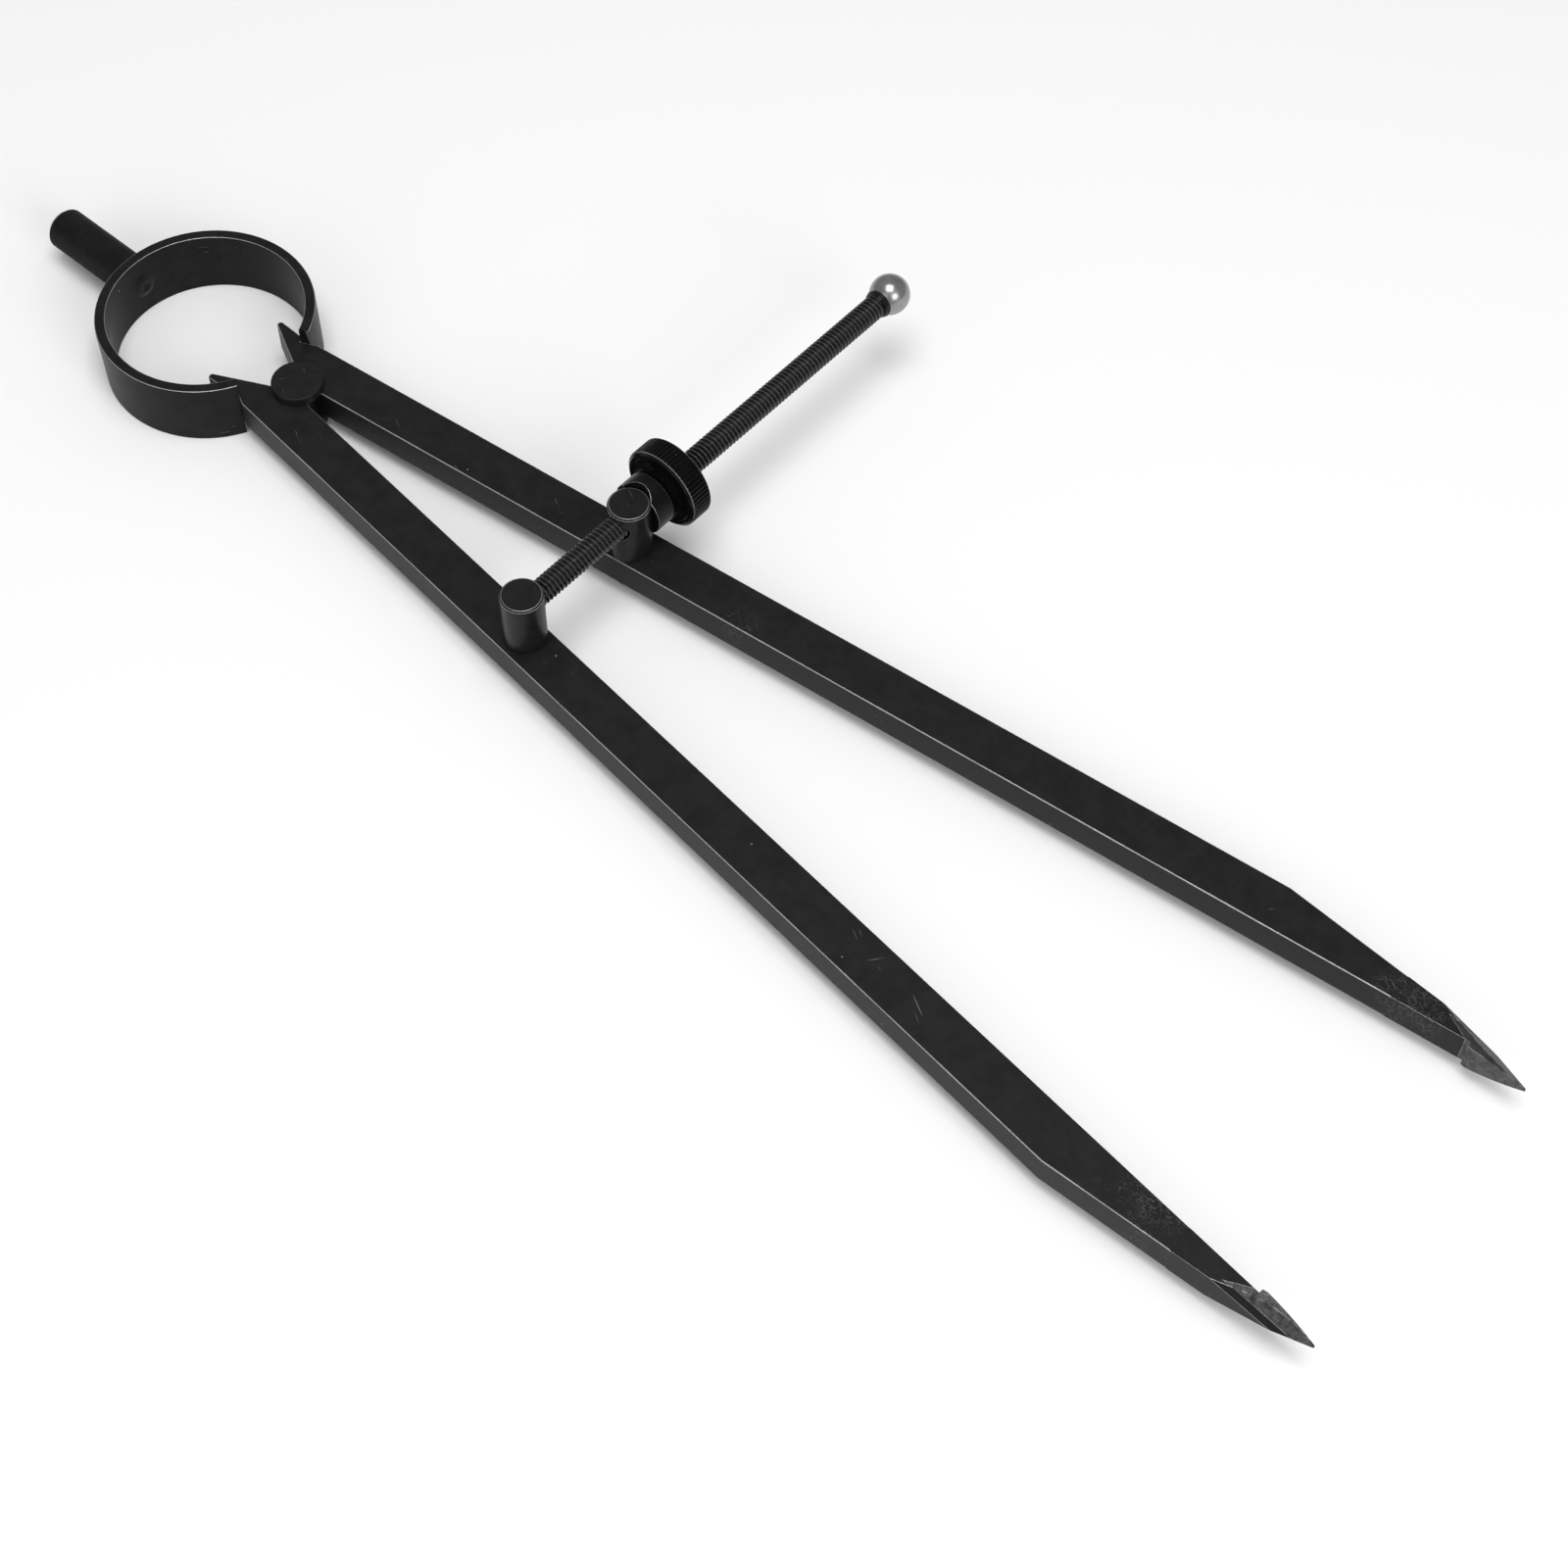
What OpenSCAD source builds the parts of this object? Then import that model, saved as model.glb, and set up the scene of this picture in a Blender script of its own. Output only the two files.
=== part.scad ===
// Spring-bow drawing compass (spring divider) with a screw adjustment.
// Frame: Z is the pivot axis, +Y points to the handle, the screw runs along +X,
// and z = 0 is the outer face of the lower pivot disc.
// Each leg is drawn closed, with its inner face parallel to Y, then turned to its resting angle.

/* [Legs] */
// Distance from the pivot axis to the point
leg_reach = 300; // [240:1:360]
// Width of a leg
leg_w = 10.6; // [9:0.1:14]
// Thickness of a leg
leg_t = 7.4; // [5:0.1:9]
// Closed distance from the centre plane to a leg's inner face
leg_inset = 1.45; // [1:0.05:2]
// Angle of each leg from the centre plane at rest
rest_angle = 6.5; // [4:0.5:9]
// Length of the outer taper
taper_len = 57.5; // [45:0.5:72]
// Closed distance from the centre plane to the outer face where the nose begins
nose_x = 4.2; // [3.4:0.1:5]
// Length of the rounded nose
nose_len = 9; // [7:0.5:11]
// Width that is left at the point
tip_w = 0.5; // [0.3:0.1:1]
// Length over which the thickness rounds off to the point
thin_len = 15; // [12:1:20]
// Distance of the ground facets from the middle of the tip
facet_tip = 0.65; // [0.5:0.05:0.9]
// Rise of the ground facets for each millimetre from the tip
facet_slope = 0.438; // [0.38:0.002:0.56]
// Thickness that is left at the point
tip_t = 0.7; // [0.4:0.1:1.2]

/* [Brazed points] */
// Length of a brazed point, to its far corner
point_len = 19; // [16:0.5:24]
// Length of the point's face that stands proud of the leg
point_step = 13; // [9:0.5:17]
// Closed distance from the centre plane to a point
point_gap = 0.2; // [0.15:0.05:0.5]
// Depth of the point at its far corner
point_depth = 4.4; // [3.6:0.1:5]
// Distance from the tip at which the seat runs out of the leg's outer face
point_exit = 2.5; // [2:0.1:3.5]

/* [Leg heads] */
// Height of the outer shoulder above the pivot axis
shoulder_y = 7; // [6:0.1:9]
// Height of the horn's tip above the pivot axis
horn_y = 15.2; // [13:0.1:17]
// Distance of the horn's tip outside the leg's outer face, with the legs closed
horn_out = 0.05; // [-0.5:0.05:1]
// Radius of the horn's tip
horn_r = 0.8; // [0.5:0.1:1.2]
// Height of the throat between the heads
throat_y = 5.2; // [4.8:0.1:6.5]
// Closed distance from the centre plane to the throat
throat_x = 4.6; // [4.2:0.1:5.5]

/* [Pivot] */
// Radius of the pivot roller
roller_r = 3.4; // [2.8:0.1:4.2]
// Radius of a pivot disc
disc_r = 5.7; // [5:0.1:7]
// Thickness of a pivot disc
disc_t = 2.2; // [1.4:0.1:3]
// Radius of the roller's riveted tenons
tenon_r = 1.8; // [1.2:0.1:2.2]
// Edge chamfer of the discs
disc_chamfer = 0.3; // [0.1:0.05:0.5]

/* [Spring bow] */
// Outside radius of the bow
bow_r = 24.5; // [20.4:0.1:29.4]
// Thickness of the bow strip
bow_t = 2.4; // [1.8:0.1:3]
// Height of the bow strip
bow_h = 15.5; // [12:0.5:18]
// Distance from a leg's outer face in to the outer corner of the bow's end
bow_seat_in = 1.31; // [1:0.01:1.8]
// Height of that corner above the leg's shoulder
bow_seat_rise = 0.18; // [0:0.01:0.5]

/* [Handle] */
// Radius of the handle
handle_r = 4.9; // [4:0.1:6]
// Length of the handle
handle_len = 25.8; // [20:0.1:32]
// Chamfer of the handle's end
handle_chamfer = 1.1; // [0.5:0.1:1.6]
// Radius of the tenon that passes through the bow
handle_tenon_r = 2.4; // [1.8:0.1:3]
// Radius of the peened head inside the bow
peen_r = 3.1; // [3:0.1:3.6]
// Height of the peened head
peen_h = 0.6; // [0.4:0.1:0.8]

/* [Posts] */
// Closed distance from the centre plane to a post's axis
post_x = 6.2; // [6:0.1:7]
// Distance from the pivot axis down to a post's axis
post_y = 86.5; // [70:0.5:100]
// Radius of a post
post_r = 4.6; // [3.8:0.01:5.6]
// Height of a post above the leg
post_h = 14.3; // [13:0.1:18]
// Radius of the spigot that turns in the leg
spigot_r = 2.6; // [2:0.1:3]
// Edge chamfer of a post's top
post_chamfer = 0.4; // [0.2:0.1:0.7]
// Width of the washer round the spigot
washer_lip = 1.6; // [1.2:0.1:2.4]
// Thickness of the washer under the leg
washer_t = 1; // [0.6:0.1:1.4]
// Height of the spigot's riveted head
rivet_h = 0.7; // [0.4:0.1:1]

/* [Adjusting screw] */
// Outside radius of the screw
screw_r = 2.74; // [2.28:0.001:3.3]
// Distance from the left post's axis to the ball's centre
screw_len = 116.4; // [100:0.1:130]
// Distance from a post's top down to the screw's axis
screw_drop = 4.2; // [4:0.1:5]
// Depth of the screw's end past the left post's axis
screw_root = 2.2; // [1:0.1:3]
// Height of the collar in front of the ball above the screw's thread
collar_lip = 0.56; // [0.3:0.01:0.8]
// Length of the collar in front of the ball
collar_len = 1.4; // [0.8:0.1:2]
// Radius of the ball
ball_r = 4.6; // [4.2:0.1:6]
// Depth of the screw in the ball
ball_bore_depth = 4; // [3:0.1:4.4]

/* [Nut and saddle] */
// Radius of the nut's knurled rim
nut_r = 9.6; // [8:0.1:10]
// Thickness of the nut's rim
rim_t = 5.7; // [4.5:0.1:7]
// Radius of the nut's boss
boss_r = 6.8; // [5.6:0.1:7.6]
// Length of the nut's boss
boss_len = 2.3; // [1.6:0.1:3]
// Edge chamfer of the rim
rim_chamfer = 0.5; // [0.3:0.1:0.8]
// Radius of the saddle washer
saddle_r = 6.15; // [5.5:0.05:7]
// How far the saddle's horns reach back past the post's face
saddle_hug = 2; // [1.4:0.1:2.4]
// Thickness of the saddle between the post and its flat face
saddle_wall = 2.6; // [2.2:0.1:3.4]

/* [Fits] */
// Gap between faces that turn on each other
face_gap = 0.05; // [0.03:0.01:0.08]
// Radial clearance of running fits
run_gap = 0.05; // [0.03:0.01:0.08]
// Radial clearance of the holes that the screw passes through
pass_gap = 0.5; // [0.4:0.05:0.7]
// Gap between the bow's ends and their notches
seat_gap = 0.05; // [0.03:0.01:0.1]

/* [Hidden] */
$fn = 96;
eps = 1; // overrun of a cut past the face it opens
leg_z = disc_t + face_gap;
mid_z = leg_z + leg_t / 2;
leg_top = leg_z + leg_t;
outer_x = leg_inset + leg_w;
bow_gap_angle = asin((outer_x - bow_seat_in) / bow_r); // half angle of the gap that the legs close
bow_y = shoulder_y + bow_seat_rise + bow_r * cos(bow_gap_angle);
bow_z = mid_z - bow_h / 2;
bow_in = bow_r - bow_t;
crown_y = bow_y + bow_r;
tip_x = point_gap + tip_w;
taper_slope = (outer_x - nose_x) / (taper_len - nose_len);
nose_steps = 6;
horn_x = outer_x + horn_out;
peen_y = -bow_t - bow_in + sqrt(bow_in * bow_in - peen_r * peen_r); // where the head meets the bow
washer_r = spigot_r + washer_lip;
collar_r = screw_r + collar_lip;
saddle_start = post_r - saddle_hug;
saddle_end = post_r + saddle_wall;
screw_axis_z = leg_top + post_h - screw_drop;
post_rest_x = post_x * cos(rest_angle) + post_y * sin(rest_angle);
post_rest_y = post_x * sin(rest_angle) - post_y * cos(rest_angle);
ball_x = screw_len - post_rest_x;
collar_x = ball_x - ball_r * 0.8 - collar_len;
nut_x = post_rest_x + saddle_end + face_gap;
notch_reach = 8; // how far past the bow a notch is cut clear
notch_sweep = 40;
facet_reach = 60; // half the size of a facet's cutting block

// ---- helpers ----

// Wedge of the bow's circle between two angles from its lowest point, positive to the right
module bow_sector(a0, a1, r) {
    translate([0, bow_y])
        polygon([[0, 0], for (a = [a0, (a0 + a1) / 2, a1]) r * [sin(a), -cos(a)]]);
}

// Place the children on the right (side = 1) or left (side = -1) leg at its resting angle
module at_rest(side) {
    mirror([side < 0 ? 1 : 0, 0, 0]) rotate([0, 0, rest_angle]) children();
}

// Mirror the children to the given side
module on_side(side) {
    mirror([side < 0 ? 1 : 0, 0, 0]) children();
}

// Share of its full size that a nose has at t, from 0 at the tip to 1 where it begins
function swell(t) = 1 - pow(1 - t, 2);

// Outer face of the nose at t, level with the taper where it begins
function nose_face(t) =
    tip_x + taper_slope * nose_len * t + (nose_x - tip_x - taper_slope * nose_len) * swell(t);

// Half the thickness of the leg at t along the part that rounds off
function half_thick(t) = (tip_t + (leg_t - tip_t) * swell(t)) / 2;

// ---- legs ----

// Closed leg with its point, whose face stands proud of the leg over point_step
module leg_outline() {
    polygon([
        [leg_inset, 0], [throat_x, throat_y],
        for (a = [150:-15:-15]) [horn_x, horn_y] + horn_r * [cos(a), sin(a)],
        [outer_x, shoulder_y + bow_t], [outer_x, -leg_reach + taper_len],
        for (i = [nose_steps:-1:0])
            [nose_face(i / nose_steps), -leg_reach + nose_len * i / nose_steps],
        [point_gap, -leg_reach], [point_gap, -leg_reach + point_step - 1],
        [point_gap + 0.3, -leg_reach + point_step], [leg_inset, -leg_reach + point_step]]);
}

// Part of the outline that the point takes up
module point_region() {
    corner = [point_gap + point_depth, point_len];
    run_out = [nose_face(point_exit / nose_len), point_exit];
    beyond = run_out + (run_out - corner) * (point_exit + eps) / (point_len - point_exit);
    translate([0, -leg_reach])
        polygon([
            [-eps, -eps], beyond, corner,
            [leg_inset, point_step + 1], [-eps, point_step + 1]]);
}

// Slab that rounds off towards the point, seen along X
module thinning() {
    rotate([90, 0, 90])
        linear_extrude(height = 2 * (horn_x + 2 * horn_r), center = true)
            polygon([
                [horn_y + 2 * horn_r, leg_z],
                for (i = [nose_steps:-1:0])
                    [-leg_reach + thin_len * i / nose_steps, mid_z - half_thick(i / nose_steps)],
                for (i = [0:nose_steps])
                    [-leg_reach + thin_len * i / nose_steps, mid_z + half_thick(i / nose_steps)],
                [horn_y + 2 * horn_r, leg_top]]);
}

// Space outside the facet ground above (up = 1) or below (up = -1) the middle of the tip
module facet_cut(up) {
    translate([facet_tip, -leg_reach, mid_z])
        mirror([0, 0, up < 0 ? 1 : 0])
            rotate([0, acos(1 / norm([1, facet_slope, 1])), -atan(facet_slope)])
                translate([-facet_reach, -facet_reach, 0]) cube(2 * facet_reach);
}

// Everything that the grinding of the tip leaves
module ground_form() {
    difference() {
        thinning();
        facet_cut(1);
        facet_cut(-1);
    }
}

// Notch that takes the end of the bow, in the resting position
module bow_notch() {
    translate([0, 0, leg_z - eps])
        linear_extrude(height = leg_t + 2 * eps)
            difference() {
                bow_sector(bow_gap_angle - seat_gap, bow_gap_angle + notch_sweep,
                           bow_r + notch_reach);
                translate([0, bow_y]) circle(r = bow_in - seat_gap);
            }
}

module leg(side) {
    difference() {
        at_rest(side)
            difference() {
                intersection() {
                    translate([0, 0, leg_z - eps])
                        linear_extrude(height = leg_t + 2 * eps)
                            difference() {
                                leg_outline();
                                point_region();
                            }
                    ground_form();
                }
                translate([post_x, -post_y, leg_z - eps])
                    cylinder(h = leg_t + 2 * eps, r = spigot_r + run_gap);
            }
        translate([0, 0, leg_z - eps])
            cylinder(h = leg_t + 2 * eps, r = roller_r + run_gap);
        on_side(side) bow_notch();
    }
}

module left_leg() { color("#2b2b2d") leg(-1); }

module right_leg() { color("#2b2b2d") leg(1); }

module brazed_point(side) {
    at_rest(side)
        intersection() {
            translate([0, 0, leg_z - eps])
                linear_extrude(height = leg_t + 2 * eps)
                    intersection() {
                        leg_outline();
                        point_region();
                    }
            ground_form();
        }
}

module left_point() { color("#6f6f70") brazed_point(-1); }

module right_point() { color("#6f6f70") brazed_point(1); }

// ---- pivot ----

// Roller between the leg heads, with a tenon at each end for the discs
module pivot_roller() {
    color("#3a3a3c") {
        translate([0, 0, disc_t]) cylinder(h = leg_t + 2 * face_gap, r = roller_r);
        cylinder(h = 2 * disc_t + leg_t + 2 * face_gap, r = tenon_r);
    }
}

// Disc drilled for the roller's tenon, with its outer edge chamfered
module pivot_disc() {
    rotate_extrude()
        polygon([
            [tenon_r, 0], [disc_r - disc_chamfer, 0], [disc_r, disc_chamfer],
            [disc_r, disc_t], [tenon_r, disc_t]]);
}

module lower_pivot_disc() { color("#2f2f31") pivot_disc(); }

module upper_pivot_disc() {
    color("#2f2f31")
        translate([0, 0, 2 * disc_t + leg_t + 2 * face_gap]) mirror([0, 0, 1]) pivot_disc();
}

// ---- bow and handle ----

module spring_bow() {
    color("#333335")
        difference() {
            translate([0, 0, bow_z])
                linear_extrude(height = bow_h)
                    difference() {
                        translate([0, bow_y]) circle(r = bow_r);
                        translate([0, bow_y]) circle(r = bow_in);
                        bow_sector(-bow_gap_angle, bow_gap_angle, 2 * bow_r);
                    }
            translate([0, bow_y, mid_z])
                rotate([-90, 0, 0]) cylinder(h = 2 * bow_r, r = handle_tenon_r);
        }
}

// Shank outside the bow, tenon through it and peened head inside it
module handle() {
    color("#2c2c2e")
        translate([0, crown_y, mid_z])
            rotate([-90, 0, 0])
                rotate_extrude()
                    polygon([
                        [0, peen_y - peen_h], [peen_r * 0.6, peen_y - peen_h],
                        [peen_r, peen_y - peen_h * 0.4], [peen_r, peen_y],
                        [handle_tenon_r, peen_y], [handle_tenon_r, 0],
                        [handle_r - 0.3, 0], [handle_r, 0.3],
                        [handle_r, handle_len - handle_chamfer],
                        [handle_r - handle_chamfer, handle_len], [0, handle_len]]);
}

// ---- posts ----

// Turning post: spigot and riveted head below, cross hole for the screw above
module post(side, hole_r, hole_from, hole_to) {
    difference() {
        translate([side * post_rest_x, post_rest_y, 0])
            rotate_extrude()
                polygon([
                    [0, leg_z - face_gap - washer_t - rivet_h],
                    [spigot_r, leg_z - face_gap - washer_t - rivet_h],
                    [spigot_r + 0.5, leg_z - face_gap - washer_t - rivet_h * 0.5],
                    [spigot_r + 0.5, leg_z - face_gap - washer_t],
                    [spigot_r, leg_z - face_gap - washer_t],
                    [spigot_r, leg_top + face_gap],
                    [post_r, leg_top + face_gap],
                    [post_r, leg_top + post_h - post_chamfer],
                    [post_r - post_chamfer, leg_top + post_h],
                    [0, leg_top + post_h]]);
        translate([side * post_rest_x + hole_from, post_rest_y, screw_axis_z])
            rotate([0, 90, 0]) cylinder(h = hole_to - hole_from, r = hole_r);
    }
}

module left_post() {
    color("#303032") post(-1, screw_r, -screw_root, post_r + eps);
}

module right_post() {
    color("#303032") post(1, screw_r + pass_gap, -post_r - eps, post_r + eps);
}

// Washer between the leg and the spigot's riveted head
module post_washer(side) {
    translate([side * post_rest_x, post_rest_y, leg_z - face_gap - washer_t])
        difference() {
            cylinder(h = washer_t, r = washer_r);
            translate([0, 0, -eps]) cylinder(h = washer_t + 2 * eps, r = spigot_r);
        }
}

module left_post_washer() { color("#39393b") post_washer(-1); }

module right_post_washer() { color("#39393b") post_washer(1); }

// ---- screw, ball, saddle and nut ----

// Lay the children, drawn along +Z from the origin, along +X on the screw's axis
module on_screw(x) {
    translate([x, post_rest_y, screw_axis_z]) rotate([0, 90, 0]) children();
}

module adjusting_screw() {
    color("#262628") {
        on_screw(-post_rest_x - screw_root)
            cylinder(h = screw_root + screw_len - ball_r + ball_bore_depth, r = screw_r);
        on_screw(collar_x) cylinder(h = collar_len, r = collar_r);
    }
}

module ball_end() {
    color("#b9b9ba")
        difference() {
            on_screw(ball_x) sphere(r = ball_r);
            on_screw(-post_rest_x)
                cylinder(h = screw_len - ball_r + ball_bore_depth, r = screw_r);
            on_screw(collar_x) cylinder(h = collar_len, r = collar_r);
        }
}

// Thick washer, hollowed on one side to sit round the post
module saddle_washer() {
    color("#2a2a2c")
        difference() {
            on_screw(post_rest_x + saddle_start)
                cylinder(h = saddle_end - saddle_start, r = saddle_r);
            on_screw(post_rest_x) cylinder(h = saddle_end + eps, r = screw_r + pass_gap);
            translate([post_rest_x, post_rest_y, leg_top])
                cylinder(h = post_h + 2 * saddle_r, r = post_r);
        }
}

module adjusting_nut() {
    color("#1e1e20")
        on_screw(nut_x)
            rotate_extrude()
                polygon([
                    [screw_r + run_gap, 0], [boss_r, 0], [boss_r, boss_len],
                    [nut_r - rim_chamfer, boss_len], [nut_r, boss_len + rim_chamfer],
                    [nut_r, boss_len + rim_t - rim_chamfer],
                    [nut_r - rim_chamfer, boss_len + rim_t],
                    [screw_r + run_gap, boss_len + rim_t]]);
}

spring_bow();
handle();
pivot_roller();
upper_pivot_disc();
lower_pivot_disc();
left_leg();
right_leg();
left_point();
right_point();
left_post();
right_post();
left_post_washer();
right_post_washer();
adjusting_screw();
ball_end();
saddle_washer();
adjusting_nut();
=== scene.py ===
"""Spring-bow drawing compass: its visible pieces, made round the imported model, and a plain studio.

Sizes are in metres. Each piece is an operator, listed in a panel of the 3D view's sidebar.
"""

import math

import bmesh
import bpy
from bpy.props import FloatProperty, FloatVectorProperty, IntProperty, PointerProperty
from mathutils import Matrix, Vector


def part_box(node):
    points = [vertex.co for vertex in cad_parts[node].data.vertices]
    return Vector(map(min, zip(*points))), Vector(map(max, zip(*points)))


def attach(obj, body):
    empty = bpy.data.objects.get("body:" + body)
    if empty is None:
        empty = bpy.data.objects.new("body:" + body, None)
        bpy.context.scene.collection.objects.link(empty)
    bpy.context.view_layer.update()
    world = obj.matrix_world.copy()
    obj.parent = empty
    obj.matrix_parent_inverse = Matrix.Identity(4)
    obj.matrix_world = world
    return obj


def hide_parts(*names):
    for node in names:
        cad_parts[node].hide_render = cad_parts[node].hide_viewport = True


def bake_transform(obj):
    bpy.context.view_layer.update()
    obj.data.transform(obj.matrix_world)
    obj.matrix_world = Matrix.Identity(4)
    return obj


bl_info = {
    "name": "Drawing compass",
    "version": (1, 0, 0),
    "blender": (4, 5, 0),
    "location": "View3D > Sidebar > Compass",
    "description": "Builds a spring-bow drawing compass with a screw adjustment",
    "category": "Object",
}

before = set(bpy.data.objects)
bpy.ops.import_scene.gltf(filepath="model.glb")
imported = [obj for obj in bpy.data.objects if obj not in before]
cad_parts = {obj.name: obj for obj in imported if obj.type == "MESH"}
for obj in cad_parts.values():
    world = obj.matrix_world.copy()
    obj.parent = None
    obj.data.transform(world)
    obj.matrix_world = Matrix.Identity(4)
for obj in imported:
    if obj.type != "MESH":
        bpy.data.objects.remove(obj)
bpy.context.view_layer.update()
MM = 0.001
LEFT, RIGHT = -1, 1
X, Y, Z = Vector((1, 0, 0)), Vector((0, 1, 0)), Vector((0, 0, 1))
DOUBLES = 0.002 * MM  # points nearer than this are one point
GROUND_LENGTH = 30 * MM  # length of leg from the tip that has the finer edges
GROUND_EDGE = 0.08 * MM
POINT_EDGE = 0.07 * MM
FLOOR_GAP = 0.02 * MM
FLOOR_HALF = 6  # metres


# ---- sizes read from the frame ----

def middle(node):
    """Centre of a node's box."""
    low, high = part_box(node)
    return (low + high) / 2


BOW_LOW, BOW_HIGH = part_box("spring_bow")
BOW_R = (BOW_HIGH.x - BOW_LOW.x) / 2
BOW_Y = BOW_HIGH.y - BOW_R
GAP_ANGLE = math.acos((BOW_Y - BOW_LOW.y) / BOW_R)
MID_Z = (BOW_LOW.z + BOW_HIGH.z) / 2
LEG_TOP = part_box("left_leg")[1].z
LEG_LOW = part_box("left_leg")[0].z
SCREW_Y, SCREW_Z = middle("adjusting_nut").yz
REACH = -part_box("left_point")[0].y


# ---- properties ----

class CompassSizes(bpy.types.PropertyGroup):
    """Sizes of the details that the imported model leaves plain."""
    edge: FloatProperty(
        name="Leg edge", description="Width of the rounded edges of the legs",
        default=0.32 * MM, unit="LENGTH")
    fine_edge: FloatProperty(
        name="Fine edge", description="Width of the rounded edges of the small pieces",
        default=0.14 * MM, unit="LENGTH")
    bow_wall: FloatProperty(
        name="Bow thickness", description="Thickness of the bow's strip",
        default=2.4 * MM, unit="LENGTH")
    screw_r: FloatProperty(
        name="Screw radius", description="Outside radius of the thread",
        default=2.74 * MM, unit="LENGTH")
    pitch: FloatProperty(
        name="Thread pitch", description="Distance between two turns of the thread",
        default=1.058 * MM, unit="LENGTH")
    thread_depth: FloatProperty(
        name="Thread depth", description="Depth of the thread",
        default=0.6 * MM, unit="LENGTH")
    handle_flutes: IntProperty(
        name="Handle flutes", description="Number of flutes round the handle", default=40)
    handle_flute: FloatProperty(
        name="Handle flute depth", description="Depth of the handle's flutes",
        default=0.22 * MM, unit="LENGTH")
    nut_flutes: IntProperty(
        name="Nut flutes", description="Number of flutes round the nut", default=60)
    nut_flute: FloatProperty(
        name="Nut flute depth", description="Depth of the nut's flutes",
        default=0.42 * MM, unit="LENGTH")


class CompassColours(bpy.types.PropertyGroup):
    """Colours of the finishes."""
    black: FloatVectorProperty(
        name="Black oxide", description="Colour of the blackened steel",
        default=(0.012, 0.012, 0.0125), subtype="COLOR", min=0, max=1)
    screw_black: FloatVectorProperty(
        name="Screw black", description="Colour of the glossier black on the screw and nut",
        default=(0.004, 0.004, 0.0042), subtype="COLOR", min=0, max=1)
    # Light steel colour: steel rubbed bare, and also the painted highlight along edges and thread
    # crests.
    worn_steel_and_edge_highlight: FloatVectorProperty(
        name="Worn steel", description="Colour of the steel where the black has rubbed off",
        default=(0.55, 0.55, 0.545), subtype="COLOR", min=0, max=1)
    ground: FloatVectorProperty(
        name="Ground steel", description="Colour of the ground points",
        default=(0.27, 0.27, 0.27), subtype="COLOR", min=0, max=1)
    nickel: FloatVectorProperty(
        name="Nickel", description="Colour of the ball",
        default=(0.33, 0.33, 0.325), subtype="COLOR", min=0, max=1)
    floor: FloatVectorProperty(
        name="Floor", description="Colour of the floor",
        default=(0.93, 0.93, 0.93), subtype="COLOR", min=0, max=1)


class CompassStudio(bpy.types.PropertyGroup):
    """The camera and the light."""
    azimuth: FloatProperty(
        name="Azimuth", description="Direction in which the camera looks",
        default=math.radians(-49.631), unit="ROTATION")
    elevation: FloatProperty(
        name="Elevation", description="Angle at which the camera looks down",
        default=math.radians(56.213), unit="ROTATION")
    roll: FloatProperty(
        name="Roll", description="Turn of the camera about its own axis",
        default=math.radians(1.005), unit="ROTATION")
    distance: FloatProperty(
        name="Distance", description="Distance of the camera from its aim",
        default=571.8 * MM, unit="LENGTH")
    aim: FloatVectorProperty(
        name="Aim", description="Point between the legs that the camera looks at",
        default=(-6.17 * MM, -147.7 * MM), size=2, unit="LENGTH")
    lens: FloatProperty(
        name="Lens", description="Focal length in millimetres", default=65.13)
    sky: FloatProperty(
        name="Sky", description="Strength of the light from all round", default=0.36)
    softbox: FloatProperty(
        name="Softbox", description="Power of the overhead light in watts", default=8.8)


def sizes():
    return bpy.context.scene.compass_sizes


def colours():
    return bpy.context.scene.compass_colours


# ---- shader maths ----

class Wire:
    """An output socket that can be used in arithmetic."""

    def __init__(self, shader, socket):
        self.shader, self.socket = shader, socket

    def math(self, operation, *terms):
        return self.shader.node("Math", {"operation": operation}, dict(enumerate(terms)))

    def __add__(self, other):
        return self.math("ADD", self, other)

    def __sub__(self, other):
        return self.math("SUBTRACT", self, other)

    def __rsub__(self, other):
        return self.math("SUBTRACT", other, self)

    def __mul__(self, other):
        return self.math("MULTIPLY", self, other)

    def __gt__(self, other):
        return self.math("GREATER_THAN", self, other)

    def __lt__(self, other):
        return self.math("LESS_THAN", self, other)

    __radd__, __rmul__ = __add__, __mul__


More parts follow.
